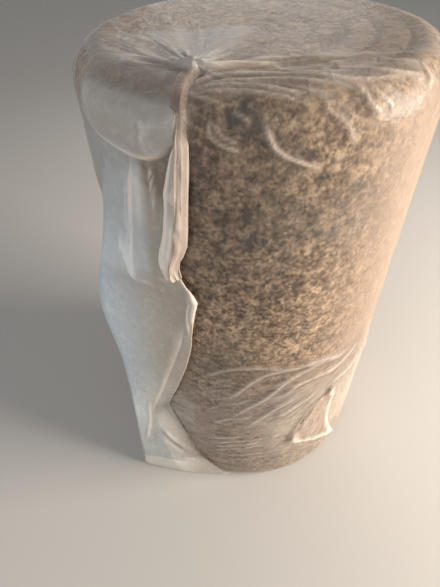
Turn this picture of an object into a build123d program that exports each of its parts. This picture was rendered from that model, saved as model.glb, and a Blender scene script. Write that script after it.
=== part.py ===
"""An upright roll of wool insulation in its loose film bag.

A thick mat of needled wool is wound up tight and stands on one end. A bag of
thin translucent film is drawn over it. The film lies on the wool nearly all
round, and what it has to spare stands out at the front left as a tall pocket
with its corner on the floor. The mouth of the bag is folded over the rim at
the front left, and its longest fold hangs down beside the pocket.

The origin is the middle of the underside, +Z is up and -Y is the front.
Lengths are millimetres. An azimuth is an angle about the axis, in degrees,
counted from the front towards +X.
"""

from build123d import *
from math import cos, radians, sin, sqrt
import os

# The wound mat
ROLL_DIAMETER = 700
ROLL_HEIGHT = 1200
BASE_ROUND = 32
RIM_ROUND = 60
BORE_DIAMETER = 50

# The gap between its turns, which shows on both ends, and the mat's loose end
TURN_PITCH = 60
TURN_GAP = 7
TURN_GAP_DEPTH = 14
TAIL_AZIMUTH = 150
TAIL_GAP = 9
TAIL_DEPTH = 7

# The film, drawn thicker than it is so that its walls are solids
FILM_WALL = 2
FILM_CLEARANCE = 0.3

# The pocket of spare film, which dies out some way below the top end. Its rows run up
# from the floor: share of its height, reach beyond the roll, and the angles that it
# spreads to the front and to the back
POCKET_BELOW_TOP = 135
POCKET_AZIMUTH = -50.5
POCKET_TIP_RADIUS = 14
POCKET_ROWS = [
    (0.00, 112, 37, 36),
    (0.10, 110, 27, 33),
    (0.31, 98, 11, 27),
    (0.52, 86, 20, 24),
    (0.73, 94, 26, 22),
    (0.84, 64, 21, 20),
    (0.93, 20, 15, 16),
    (1.00, -6, 12, 12),
]

# The hem along the foot of the pocket, where the bag is welded shut
HEM_HEIGHT = 34
HEM_PROUD = 4

# The mouth of the bag, which lies on the top end in a fan and is folded over the rim
MOUTH_INSIDE = 70
MOUTH_START = -53
MOUTH_END = -21
MOUTH_DROP = 105
MOUTH_THICKNESS = 9

# The longest fold of the mouth, which hangs down the side
FOLD_INSIDE = 150
FOLD_START = -33.5
FOLD_END = -23.5
FOLD_DROP = 350
FOLD_THICKNESS = 14

roll_radius = ROLL_DIAMETER / 2
skin = FILM_CLEARANCE + FILM_WALL
bag_radius = roll_radius + skin
bag_height = ROLL_HEIGHT + 2 * skin

# What joins the bag's wall starts in the middle of it
bite = FILM_WALL / 2


def polar(radius, azimuth, height=0):
    """The point at a radius, azimuth and height."""
    turned = radians(azimuth)
    return Vector(radius * sin(turned), -radius * cos(turned), height)


def drum(grown):
    """The roll's outer form, with every face moved out by grown."""
    radius = roll_radius + grown
    low = skin - grown
    high = low + ROLL_HEIGHT + 2 * grown
    base = BASE_ROUND + grown
    rim = RIM_ROUND + grown
    outline = [
        Line((0, low), (radius - base, low)),
        CenterArc((radius - base, low + base), base, -90, 90),
        Line((radius, low + base), (radius, high - rim)),
        CenterArc((radius - rim, high - rim), rim, 0, 90),
        Line((radius - rim, high), (0, high)),
        Line((0, high), (0, low)),
    ]
    return revolve(Plane.XZ * make_face(Curve() + outline), Axis.Z)


def half_ring(radius, centre, turned):
    """Half of a flat ring as wide as the gap between two turns."""
    wide = radius + TURN_GAP / 2
    narrow = radius - TURN_GAP / 2
    outline = [
        CenterArc((0, 0), wide, 0, 180),
        Line((-wide, 0), (-narrow, 0)),
        CenterArc((0, 0), narrow, 0, 180),
        Line((narrow, 0), (wide, 0)),
    ]
    return Pos(centre, 0, 0) * Rot(0, 0, turned) * make_face(Curve() + outline)


def turn_gaps(bottom):
    """The gap between the turns as a spiral of half rings, cut up from a height."""
    gaps = []
    growth = TURN_PITCH / 2
    radius = BORE_DIAMETER / 2 + growth
    while radius < roll_radius - RIM_ROUND / 2:
        odd = len(gaps) % 2
        ring = half_ring(radius, growth * odd, 180 * odd)
        gaps.append(Pos(0, 0, bottom) * extrude(ring, TURN_GAP_DEPTH + bite))
        radius += growth
    return gaps


def wool_roll():
    """The wound mat: a turned solid with its bore, and its turns on both ends."""
    bore = extrude(Circle(BORE_DIAMETER / 2), bag_height)
    low_gaps = turn_gaps(skin - bite)
    high_gaps = turn_gaps(skin + ROLL_HEIGHT - TURN_GAP_DEPTH)
    groove = extrude(Rectangle(TAIL_GAP, 2 * TAIL_DEPTH), bag_height)
    tail = Pos(polar(roll_radius, TAIL_AZIMUTH)) * Rot(0, 0, TAIL_AZIMUTH) * groove
    return drum(0) - [bore, tail, *low_gaps, *high_gaps]


def outline_radius(height):
    """The bag's own radius at a height, less where its base is rounded."""
    base = BASE_ROUND + skin
    below = max(0, base - height)
    return bag_radius - base + sqrt(base**2 - below**2)


def pocket_section(height, row, grown):
    """One level of the pocket: a wedge whose root lies inside the roll's outline."""
    reach, front_spread, back_spread = row[1:]
    side = outline_radius(height) - bite
    front = polar(side, POCKET_AZIMUTH + front_spread)
    back = polar(side, POCKET_AZIMUTH - back_spread)
    tip = polar(bag_radius + reach, POCKET_AZIMUTH)
    root = polar(side / 2, POCKET_AZIMUTH)
    wedge = make_face(Polyline(front, tip, back, root, close=True))
    corner = wedge.vertices().sort_by_distance(tip)[0]
    wedge = fillet(corner, POCKET_TIP_RADIUS)
    if grown:
        wedge = offset(wedge, amount=grown, kind=Kind.INTERSECTION)
    return Pos(0, 0, height) * wedge


def pocket(grown):
    """The pocket's form, from one level straight to the next."""
    top = bag_height - POCKET_BELOW_TOP
    return loft([pocket_section(row[0] * top, row, grown) for row in POCKET_ROWS], ruled=True)


def slab(low, high):
    """All that lies between two heights."""
    reach = 2 * ROLL_DIAMETER
    return Pos(0, 0, low) * extrude(Rectangle(reach, reach), high - low)


def folded_film(inside, start, end, drop, thickness):
    """Film folded over the rim: out along the top end, round the rim and down the side."""
    rim = RIM_ROUND + skin
    edge = bag_radius - rim
    shoulder = bag_height - rim
    low = bag_height - drop
    outer = bag_radius + thickness
    inner = bag_radius - bite
    outline = [
        Line((inner, low), (outer, low)),
        Line((outer, low), (outer, shoulder)),
        CenterArc((edge, shoulder), rim + thickness, 0, 90),
        Line((edge, bag_height + thickness), (inside, bag_height)),
        Line((inside, bag_height), (inside, bag_height - bite)),
        Line((inside, bag_height - bite), (edge, bag_height - bite)),
        CenterArc((edge, shoulder), rim - bite, 0, 90),
        Line((inner, shoulder), (inner, low)),
    ]
    profile = Plane.XZ * make_face(Curve() + outline)
    return revolve(profile, Axis.Z, end - start).rotate(Axis.Z, start - 90)


def film_bag():
    """The bag: its outer form less the room for the roll and the pocket's air."""
    hem = pocket(HEM_PROUD) & slab(0, HEM_HEIGHT)
    mouth = folded_film(MOUTH_INSIDE, MOUTH_START, MOUTH_END, MOUTH_DROP, MOUTH_THICKNESS)
    fold = folded_film(FOLD_INSIDE, FOLD_START, FOLD_END, FOLD_DROP, FOLD_THICKNESS)
    air = pocket(-FILM_WALL) & slab(FILM_WALL, bag_height)
    return drum(skin) + [pocket(0), hem, mouth, fold] - [drum(FILM_CLEARANCE), air]


os.makedirs("parts", exist_ok=True)
for name, part in {"wool_roll": wool_roll(), "film_bag": film_bag()}.items():
    part.label = name
    export_step(part, f"parts/{name}.step")
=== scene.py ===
"""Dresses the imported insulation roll: a wound mat of needled wool in a loose bag of thin film.

The wool is a lumpy solid with the edges of its turns on both ends. The film is a thin shell that
lies on the wool, closes in on a gather near the front left rim and stands out below it as a tall
pocket. The mouth of the bag hangs from the gather as a flattened tail, and a torn tongue of film
curls out at the lower right. All lengths are metres in the part's frame: +Z is up and -Y is the
front. An azimuth is an angle about the roll's axis in degrees, counted from the front towards +X.
"""

import logging
import math
from dataclasses import dataclass
from enum import Enum

import bpy
import numpy as np
from mathutils import Matrix, Vector


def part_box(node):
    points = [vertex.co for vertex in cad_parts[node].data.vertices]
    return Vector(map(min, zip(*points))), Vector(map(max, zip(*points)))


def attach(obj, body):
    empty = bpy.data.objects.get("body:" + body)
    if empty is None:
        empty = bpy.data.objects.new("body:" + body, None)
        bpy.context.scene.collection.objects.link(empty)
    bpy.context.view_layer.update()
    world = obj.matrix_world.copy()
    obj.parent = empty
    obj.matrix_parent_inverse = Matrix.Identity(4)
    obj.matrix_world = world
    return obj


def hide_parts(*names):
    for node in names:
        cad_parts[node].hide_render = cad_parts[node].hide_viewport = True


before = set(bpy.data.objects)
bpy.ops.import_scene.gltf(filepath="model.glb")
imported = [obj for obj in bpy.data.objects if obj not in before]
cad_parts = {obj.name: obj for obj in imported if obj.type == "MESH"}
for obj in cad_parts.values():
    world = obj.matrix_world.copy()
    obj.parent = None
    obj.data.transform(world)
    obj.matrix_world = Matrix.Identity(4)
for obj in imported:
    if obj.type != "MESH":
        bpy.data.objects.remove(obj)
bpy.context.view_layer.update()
LOG = logging.getLogger("insulation_roll")

BODY = "root"
FULL_TURN = 360.0


class Signal:
    """A value that varies over a surface: a node's output that takes arithmetic."""

    def __init__(self, bench: "ShaderBench", socket: bpy.types.NodeSocket) -> None:
        """Wraps an output socket.

        Args:
            bench: The graph that the socket belongs to.
            socket: The output socket.
        """
        self.bench = bench
        self.socket = socket

    def _maths(self, operation: str, *terms: "Signal | float") -> "Signal":
        """Adds a Math node.

        Args:
            operation: The node's operation.
            *terms: Its inputs, in order.

        Returns:
            The node's result.
        """
        return self.bench.node("ShaderNodeMath", {"operation": operation}, dict(enumerate(terms)))

    def __add__(self, other: "Signal | float") -> "Signal":
        """The sum."""
        return self._maths("ADD", self, other)

    def __sub__(self, other: "Signal | float") -> "Signal":
        """The difference."""
        return self._maths("SUBTRACT", self, other)

    def __rsub__(self, other: "Signal | float") -> "Signal":
        """The difference, taken from a number."""
        return self._maths("SUBTRACT", other, self)

    def __mul__(self, other: "Signal | float") -> "Signal":
        """The product."""
        return self._maths("MULTIPLY", self, other)

    def __pow__(self, other: "Signal | float") -> "Signal":
        """The power."""
        return self._maths("POWER", self, other)

    def __neg__(self) -> "Signal":
        """The negative."""
        return self._maths("MULTIPLY", self, -1.0)

    def __abs__(self) -> "Signal":
        """The size without its sign."""
        return self._maths("ABSOLUTE", self)

    __radd__ = __add__
    __rmul__ = __mul__

    def angle_from(self, run: "Signal | float") -> "Signal":
        """The angle of this rise over a run, in radians."""
        return self._maths("ARCTAN2", self, run)

    def root(self) -> "Signal":
        """The square root."""
        return self._maths("SQRT", self)

    def step(self, low: float, high: float) -> "Signal":
        """A smooth step from 0 at low to 1 at high, which may be under low."""
        settings = {"interpolation_type": "SMOOTHSTEP"}
        return self.bench.node("ShaderNodeMapRange", settings, {0: self, 1: low, 2: high})

    def clamped(self) -> "Signal":
        """The value held between 0 and 1."""
        return self.bench.node("ShaderNodeClamp", {}, {0: self})


class ShaderBench:
    """One material's node graph, with its nodes added from Python expressions."""

    def __init__(self, name: str) -> None:
        """Starts a material with nothing but its output.

        Args:
            name: The material's name.
        """
        self.material = bpy.data.materials.new(name)
        self.material.use_nodes = True
        self.tree = self.material.node_tree
        self.tree.nodes.clear()
        self.output = self.tree.nodes.new("ShaderNodeOutputMaterial")
        self.position = self.node("ShaderNodeTexCoord", {}, {}, output="Object")

    def node(self, kind: str, settings: dict, inputs: dict, output: int | str = 0) -> Signal:
        """Adds any node.

        Args:
            kind: The node's type.
            settings: Its own settings, set first. The key "stops" holds a ramp's stops.
            inputs: A value or a Signal for each socket, by its name or number.
            output: The name or number of the socket to return.

        Returns:
            The chosen output.
        """
        made = self.tree.nodes.new(kind)
        for key, value in settings.items():
            if key == "stops":
                self._set_stops(made.color_ramp, value)
            else:
                setattr(made, key, value)
        for key, value in inputs.items():
            if isinstance(value, Signal):
                self.tree.links.new(value.socket, made.inputs[key])
            else:
                made.inputs[key].default_value = value
        return Signal(self, made.outputs[output])

    @staticmethod
    def _set_stops(ramp: bpy.types.ColorRamp, stops: list[tuple[float, tuple]]) -> None:
        """Sets a ramp's stops.

        Args:
            ramp: The ramp.
            stops: Place and linear colour of each stop.
        """
        while len(ramp.elements) < len(stops):
            ramp.elements.new(0.5)
        for element, (place, colour) in zip(ramp.elements, stops):
            element.position = place
            element.color = colour

    def parts(self, vector: Signal) -> tuple[Signal, Signal, Signal]:
        """The three numbers of a vector.

        Args:
            vector: The vector.

        Returns:
            Its x, y and z.
        """
        outputs = self.node("ShaderNodeSeparateXYZ", {}, {0: vector}).socket.node.outputs
        return Signal(self, outputs[0]), Signal(self, outputs[1]), Signal(self, outputs[2])

    def vector(self, x: Signal | float, y: Signal | float, z: Signal | float = 0.0) -> Signal:
        """A vector from three numbers."""
        return self.node("ShaderNodeCombineXYZ", {}, {0: x, 1: y, 2: z})

    def noise(self, place: Signal, scale: float, detail: float, warp: float = 0.0) -> Signal:
        """A soft random pattern.

        Args:
            place: Where on the surface it is read.
            scale: Its features per metre.
            detail: How many finer layers it has.
            warp: How far it is distorted.

        Returns:
            Numbers about 0.5.
        """
        inputs = {"Vector": place, "Scale": scale, "Detail": detail, "Distortion": warp}
        return self.node("ShaderNodeTexNoise", {}, inputs)

    def attribute(self, name: str) -> Signal:
        """One of the mesh's own attributes, as a number."""
        return self.node("ShaderNodeAttribute", {"attribute_name": name}, {}, output="Fac")

    def mix(self, share: Signal | float, first: Signal | tuple, second: Signal | tuple) -> Signal:
        """A colour between two colours.

        Args:
            share: 0 for the first and 1 for the second.
            first: The first colour, linear with alpha, or a Signal.
            second: The second colour.

        Returns:
            The mixed colour.
        """
        settings = {"data_type": "RGBA"}
        return self.node("ShaderNodeMix", settings, {0: share, 6: first, 7: second}, output=2)

    def bump(self, height: Signal, strength: float, distance: float) -> Signal:
        """A bumped normal.

        Args:
            height: The relief.
            strength: Its share of the effect.
            distance: The depth of a relief of 1.

        Returns:
            The normal.
        """
        inputs = {"Strength": strength, "Distance": distance, "Height": height}
        return self.node("ShaderNodeBump", {}, inputs)

    def surface(self, values: dict) -> bpy.types.Material:
        """Closes the graph with the main shader.

        Args:
            values: A number, colour or Signal for each of the shader's sockets.

        Returns:
            The finished material.
        """
        shader = self.node("ShaderNodeBsdfPrincipled", {}, values)
        self.tree.links.new(shader.socket, self.output.inputs["Surface"])
        return self.material


def linear(red: int, green: int, blue: int) -> tuple[float, float, float, float]:
    """A colour as seen on screen, as linear light with alpha.

    Args:
        red: 0 to 255.
        green: 0 to 255.
        blue: 0 to 255.

    Returns:
        Four numbers from 0 to 1.
    """
    shares = [value / 255 for value in (red, green, blue)]
    light = [s / 12.92 if s <= 0.04045 else ((s + 0.055) / 1.055) ** 2.4 for s in shares]
    return (*light, 1.0)


def ridged(signal: Signal, sharpness: float) -> Signal:
    """Thin crests where a noise crosses its middle.

    Args:
        signal: Numbers about 0.5.
        sharpness: How thin the crests are.

    Returns:
        Crests of 1 on a ground of 0.
    """
    return (1.0 - abs(signal - 0.5) * 5.0).clamped() ** sharpness


@dataclass(frozen=True)
class WoolFinish:
    """Needled wool: grey-brown fibres with dark and pale tufts."""

    dark: tuple = linear(68, 59, 53)
    middle: tuple = linear(148, 125, 104)
    light: tuple = linear(224, 194, 161)
    # Slate grey of the wool's patches, also mixed in as the painted shade of the broad patch
    slate_and_shade: tuple = linear(62, 66, 68)
    cool: tuple = linear(112, 116, 110)
    # Painted shade in the gaps between the turns on the ends
    gap: tuple = linear(48, 40, 34)
    roughness: float = 0.95
    gloss: float = 0.12
    relief: float = 0.004

    # Features per metre of each layer of the pattern
    fibre_scale: float = 380.0
    speckle_scale: float = 130.0
    tuft_scale: float = 52.0
    clump_scale: float = 19.0
    drift_scale: float = 3.3

    # Middle, reach and strength of each darker patch: the first, broad one is painted shade over the upper
    # front left, the rest are slate-grey patches of the wool
    slate_and_shade_patches: tuple = (
        ((-0.092, -0.338, 1.050), 0.320, 0.44),
        ((-0.033, -0.339, 1.174), 0.040, 0.75),
        ((-0.062, -0.333, 1.182), 0.026, 0.75),
        ((-0.045, -0.347, 0.970), 0.020, 0.75),
        ((-0.020, -0.349, 0.965), 0.016, 0.75),
    )

    def material(self) -> bpy.types.Material:
        """The wool's material.

        Returns:
            A material that reads object coordinates and the mesh's own "gap".
        """
        bench = ShaderBench("needled_wool")
        place = bench.position
        speckle = bench.noise(place, self.speckle_scale, 2.0, 0.3)
        tufts = bench.noise(place, self.tuft_scale, 2.0, 0.6)
        clumps = bench.noise(place, self.clump_scale, 2.0, 0.4)
        drift = bench.noise(place, self.drift_scale, 2.0)
        fibres = bench.noise(place, self.fibre_scale, 2.0, 2.0)
        tone = speckle * 0.36 + tufts * 0.38 + clumps * 0.16 + fibres * 0.10
        stops = [(0.410, self.dark), (0.5, self.middle), (0.605, self.light)]
        coat = bench.node("ShaderNodeValToRGB", {"stops": stops}, {0: tone})
        coat = bench.mix(drift.step(0.54, 0.72) * 0.45, coat, self.cool)
        # The first patch is painted shade, the rest are the wool's slate patches
        for middle, reach, strength in self.slate_and_shade_patches:
            settings = {"operation": "DISTANCE"}
            away = bench.node("ShaderNodeVectorMath", settings, {0: place, 1: middle}, output="Value")
            spread = (away + (tufts - 0.5) * 0.06).step(reach, 0.25 * reach)
            coat = bench.mix(spread * strength, coat, self.slate_and_shade)
        # Painted shade in the gaps between the turns
        coat = bench.mix(bench.attribute("gap"), coat, self.gap)
        normal = bench.bump(fibres * 0.2 + speckle * 0.5 + tufts, 0.25, self.relief)
        return bench.surface({"Base Color": coat, "Roughness": self.roughness, "Normal": normal,
                              "Specular IOR Level": self.gloss})


@dataclass(frozen=True)
class FilmFinish:
    """Thin polyethylene film: nearly clear where it lies on the wool, milky where it stands off."""

    on_wool: tuple = linear(196, 172, 151)
    near_wool: tuple = linear(220, 208, 194)
    in_air: tuple = linear(218, 229, 234)
    low_air: tuple = linear(214, 217, 212)
    # Pale colour of folds, creases and crests: partly the doubled film, partly painted highlight
    fold: tuple = linear(255, 240, 224)
    fold_in_air: tuple = linear(248, 250, 248)
    shadow: tuple = linear(84, 68, 58)
    clear: float = 0.07
    roughness: float = 0.34
    relief: float = 0.003

    # The gather in plan, the middle of the pull in metres round the roll and up, and the radius that
    # turns an angle into metres round the roll
    gather: tuple[float, float] = (-0.115, -0.246)
    pull: tuple[float, float] = (0.27, 0.56)
    roll_radius: float = 0.35

    # The foot of the pocket's sharp fold, how far it lies to the left of the front and how far it
    # leans, and the lean of the facet's far edge: metres, radians, and radians per metre
    fold_foot: float = 0.852
    fold_turn: float = 0.708
    fold_lean: float = 0.108
    fold_sharpness: float = 160.0
    far_lean: float = 1.096

    def material(self, name: str) -> bpy.types.Material:
        """The film's material.

        Args:
            name: The material's name.

        Returns:
            A material that reads object coordinates and the mesh's own "lift", "mist", "crease",
            "shade" and "sheen_veil".
        """
        bench = ShaderBench(name)
        x, y, z = bench.parts(bench.position)
        keys = ("lift", "crease", "mist", "shade", "sheen_veil")
        lift, crease, mist, shade, sheen_veil = (bench.attribute(key) for key in keys)
        lines = self._fine_lines(bench, x, y, z) * lift.step(0.014, 0.006)
        cling = bench.noise(bench.position, 58.0, 2.0, 0.6).step(0.46, 0.7)
        fine = bench.noise(bench.position, 21.0, 3.0, 0.9)
        edge_on = bench.node("ShaderNodeLayerWeight", {}, {0: 0.5}, output="Facing") ** 3.0

        milky = lift.step(0.002, 0.012) * 0.40 + lift.step(0.010, 0.060) * 0.28 + shade * 0.35
        facet = self._facet(x.angle_from(-y), z)
        # sheen_veil pales the film as painted sheen on the side facing the window lamp
        alpha = self.clear + cling * 0.10 + lines * 0.16 + mist + sheen_veil + crease * 0.60 + edge_on * 0.12
        alpha = alpha + facet * 0.40
        tint = bench.mix(lift.step(0.003, 0.014), self.on_wool, self.near_wool)
        air = bench.mix(z.step(0.15, 0.60), self.low_air, self.in_air)
        tint = bench.mix(lift.step(0.020, 0.085), tint, air)
        tint = bench.mix((mist * 1.8).clamped(), tint, air)
        tint = bench.mix(shade, tint, self.shadow)
        fold = bench.mix(lift.step(0.014, 0.030) * z.step(0.6, 0.8), self.fold, self.fold_in_air)
        # Creases and fine lines turn pale: partly doubled film, partly painted highlight on the crests
        tint = bench.mix((crease + lines * 0.25 + facet * 0.8).clamped(), tint, fold)
        normal = bench.bump(lines * 1.2 + fine * 1.6 + cling * 0.3, 0.6, self.relief)
        return bench.surface({"Base Color": tint, "Roughness": self.roughness, "IOR": 1.5,
                              "Alpha": (alpha + milky).clamped(), "Normal": normal})

    def _facet(self, angle: Signal, z: Signal) -> Signal:
        """The pocket's sharp upright fold and the pointed facet to the left of its lower end.

        Args:
            angle: Azimuth in radians.
            z: Height.

        Returns:
            Whiteness of up to 1.
        """
        up = z - self.fold_foot
        left_of_fold = up * self.fold_lean - self.fold_turn - angle
        line = (1.0 - abs(left_of_fold) * self.fold_sharpness).clamped()
        line = line * z.step(0.855, 0.875) * z.step(1.09, 1.05)
        from_far_edge = up * self.far_lean - left_of_fold
        inside = left_of_fold.step(-0.002, 0.004) * from_far_edge.step(0.0, 0.008) * z.step(0.942, 0.920)
        hollow = left_of_fold.step(0.010, 0.020) * from_far_edge.step(0.022, 0.036)
        return (line * 0.55 + inside * (1.0 - hollow * 0.7)).clamped()

    def _fine_lines(self, bench: ShaderBench, x: Signal, y: Signal, z: Signal) -> Signal:
        """The finest creases: a fan from the side's pull, pleats from the gather and level lines.

        Args:
            bench: The graph.
            x: Across.
            y: Depth.
            z: Height.

        Returns:
            Crests of up to 1.
        """
        round_way = x.angle_from(-y) * self.roll_radius

        rise, run = z - self.pull[1], round_way - self.pull[0]
        away = (rise * rise + run * run).root()
        fan = bench.noise(bench.vector(rise.angle_from(run) * 5.5, away * 1.5), 4.0, 2.0)
        fan_lines = ridged(fan, 2.0) * z.step(0.66, 0.52) * z.step(0.1, 0.25)

        dx, dy = x - self.gather[0], y - self.gather[1]
        reach = (dx * dx + dy * dy).root()
        bearing = dy.angle_from(dx)
        pleats = bench.noise(bench.vector(bearing * 2.6, reach * 1.6), 3.0, 1.0)
        along_rim = z.step(1.165, 1.190) * abs(bearing + 0.12).step(0.50, 0.30)
        pleat_lines = ridged(pleats, 1.5) * (z.step(1.194, 1.2036) * 0.30 + along_rim).clamped()

        level = bench.noise(bench.vector(round_way * 6.0, z * 60.0), 1.0, 2.0, 0.3)
        level_lines = ridged(level, 2.0) * z.step(0.08, 0.13) * z.step(0.44, 0.30)
        return (fan_lines + pleat_lines + level_lines).clamped()


@dataclass(frozen=True)
class FloorFinish:
    """A plain pale floor."""

    colour: tuple = linear(204, 199, 193)
    roughness: float = 0.85

    def material(self) -> bpy.types.Material:
        """The floor's material, one flat colour."""
        return ShaderBench("pale_floor").surface({"Base Color": self.colour, "Roughness": self.roughness})


def polar(radius: np.ndarray | float, azimuth: np.ndarray | float) -> np.ndarray:
    """Plan places at radii and azimuths.

    Args:
        radius: Metres from the axis.
        azimuth: Degrees from the front towards +X.

    Returns:
        x and y on the last axis.
    """
    turned = np.radians(azimuth)
    return np.stack([radius * np.sin(turned), -radius * np.cos(turned)], axis=-1)


def azimuth_of(points: np.ndarray) -> np.ndarray:
    """The azimuths of points, in degrees."""
    return np.degrees(np.arctan2(points[..., 0], -points[..., 1]))


def smooth_step(values: np.ndarray | float, low: float, high: float) -> np.ndarray:
    """A smooth step from 0 at low to 1 at high.

    Args:
        values: Where it is read.
        low: Where it leaves 0.
        high: Where it reaches 1, which may be under low.

    Returns:
        Numbers from 0 to 1.
    """
    share = np.clip((values - low) / (high - low), 0.0, 1.0)
    return share * share * (3 - 2 * share)


def band(values: np.ndarray | float, start: float, full: float, fading: float, end: float) -> np.ndarray:
    """1 from full to fading, with a smooth step to 0 at start and at end."""
    return smooth_step(values, start, full) * smooth_step(values, end, fading)


def hump(away: np.ndarray | float, width: float, power: float = 2) -> np.ndarray:
    """A soft hump of 1 where away is 0, which dies out over a width."""
    return np.exp(-((away / width) ** power))


def smooth_path(points: np.ndarray, steps: int = 8) -> np.ndarray:
    """A soft curve through points.

    Args:
        points: The points, in order.
        steps: Points of the curve to each leg.

    Returns:
        The curve's points.
    """
    ends = np.vstack([2 * points[0] - points[1], points, 2 * points[-1] - points[-2]])
    share = (np.arange(steps) / steps)[:, None]
    legs = []
    for a, b, c, d in zip(ends, ends[1:], ends[2:], ends[3:]):
        bend = (2 * a - 5 * b + 4 * c - d) * share**2 + (3 * b - a - 3 * c + d) * share**3
        legs.append(b + 0.5 * ((c - a) * share + bend))
    return np.vstack([*legs, points[-1:]])


def nearest_on(points: np.ndarray, line: np.ndarray) -> tuple[np.ndarray, np.ndarray]:
    """How near points are to a line.

    Args:
        points: The points, one to a row.
        line: The line's points.

    Returns:
        Each point's distance, and how far along the line its nearest place is, from 0 to 1.
    """
    starts, spans = line[:-1], np.diff(line, axis=0)
    lengths = np.maximum(np.linalg.norm(spans, axis=1), 1e-9)
    beside = points[:, None] - starts
    share = np.clip(np.einsum("nsk,sk->ns", beside, spans) / lengths**2, 0, 1)
    away = np.linalg.norm(beside - share[..., None] * spans, axis=-1)
    best = np.argmin(away, axis=1)
    rows = np.arange(len(points))
    run = np.concatenate([[0.0], np.cumsum(lengths)])
    along = (run[best] + share[rows, best] * lengths[best]) / run[-1]
    return away[rows, best], along


class Grain:
    """Seeded smooth random numbers over a plane, the same on each run."""

    CELLS = 64

    def __init__(self, seed: int) -> None:
        """Draws the grain, which repeats after its cells each way.

        Args:
            seed: Where the random numbers start.
        """
        self.values = np.random.default_rng(seed).uniform(-1.0, 1.0, (self.CELLS, self.CELLS))

    def read(self, across: np.ndarray, along: np.ndarray) -> np.ndarray:
        """The grain's height.

        Args:
            across: Places one way, in cells.
            along: Places the other way, in cells.

        Returns:
            Numbers from -1 to 1.
        """
        i, j = np.floor(across).astype(int), np.floor(along).astype(int)
        u, v = across - i, along - j
        u, v = u * u * (3 - 2 * u), v * v * (3 - 2 * v)
        i0, i1 = i % self.CELLS, (i + 1) % self.CELLS
        j0, j1 = j % self.CELLS, (j + 1) % self.CELLS
        near = self.values[i0, j0] * (1 - u) + self.values[i1, j0] * u
        far = self.values[i0, j1] * (1 - u) + self.values[i1, j1] * u
        return near * (1 - v) + far * v


@dataclass(frozen=True)
class RollForm:
    """The outer form of the wound mat, read from the frame."""

    radius: float
    bottom: float
    top: float
    base_round: float = 0.032
    rim_round: float = 0.060

    @classmethod
    def from_frame(cls) -> "RollForm":
        """The form of the CAD node that stands for the mat."""
        low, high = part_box("wool_roll")
        return cls(radius=high.x, bottom=low.z, top=high.z)

    def outline(self, height: np.ndarray | float, lift: np.ndarray | float) -> np.ndarray:
        """The radius at a height of a skin that lies a little off the mat.

        Args:
            height: The height.
            lift: How far the skin lies off the mat.

        Returns:
            The skin's radius there.
        """
        base, rim = self.base_round + lift, self.rim_round + lift
        below = np.clip(self.bottom - lift + base - height, 0.0, base)
        above = np.clip(height - self.top - lift + rim, 0.0, rim)
        low = np.sqrt(base**2 - below**2) - base
        high = np.sqrt(rim**2 - above**2) - rim
        return self.radius + lift + low + high

    def on_side(self, azimuth: np.ndarray, height: np.ndarray, lift: float) -> np.ndarray:
        """Places on a skin over the side.

        Args:
            azimuth: Their azimuths.
            height: Their heights.
            lift: How far the skin lies off the mat.

        Returns:
            The places.
        """
        plan = polar(self.outline(height, lift), azimuth)
        return np.concatenate([plan, np.asarray(height)[..., None]], axis=-1)

    def on_top(self, plan: np.ndarray, lift: float) -> np.ndarray:
        """Places on a skin over the top end and its rim.

        Args:
            plan: Their x and y.
            lift: How far the skin lies off the mat.

        Returns:
            The places.
        """
        rim = self.rim_round + lift
        out = np.clip(np.hypot(plan[:, 0], plan[:, 1]) - self.radius + self.rim_round, 0, rim)
        height = self.top - self.rim_round + np.sqrt(rim**2 - out**2)
        return np.column_stack([plan, height])

    def down(self, run: np.ndarray, azimuth: np.ndarray, lift: np.ndarray) -> np.ndarray:
        """Places along a line from the top end, round the rim and down the side.

        Args:
            run: How far along the mat's surface, from where the rim starts to turn.
            azimuth: Their azimuths.
            lift: How far they lie off the mat.

        Returns:
            The places.
        """
        arc = self.rim_round * math.pi / 2
        turned = np.clip(run, 0, arc) / self.rim_round
        flat = self.radius - self.rim_round
        radius = flat + np.minimum(run, 0) + (self.rim_round + lift) * np.sin(turned)
        height = self.top - self.rim_round + (self.rim_round + lift) * np.cos(turned)
        height = height - np.maximum(run - arc, 0)
        return np.concatenate([polar(radius, azimuth), height[..., None]], axis=-1)

    def distance(self, points: np.ndarray) -> np.ndarray:
        """How far points lie off the mat.

        Args:
            points: Places, with their three numbers on the last axis.

        Returns:
            One distance each, negative inside.
        """
        out = np.hypot(points[..., 0], points[..., 1])
        high = points[..., 2] > (self.bottom + self.top) / 2
        soft = np.where(high, self.rim_round, self.base_round)
        across = out - self.radius + soft
        along = np.where(high, points[..., 2] - self.top, self.bottom - points[..., 2]) + soft
        outside = np.hypot(np.maximum(across, 0), np.maximum(along, 0))
        return outside + np.minimum(np.maximum(across, along), 0) - soft


def select_only(piece: bpy.types.Object) -> None:
    """Selects one object alone and makes it the active one.

    Args:
        piece: The object.
    """
    bpy.ops.object.select_all(action="DESELECT")
    piece.select_set(True)
    bpy.context.view_layer.objects.active = piece


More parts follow.
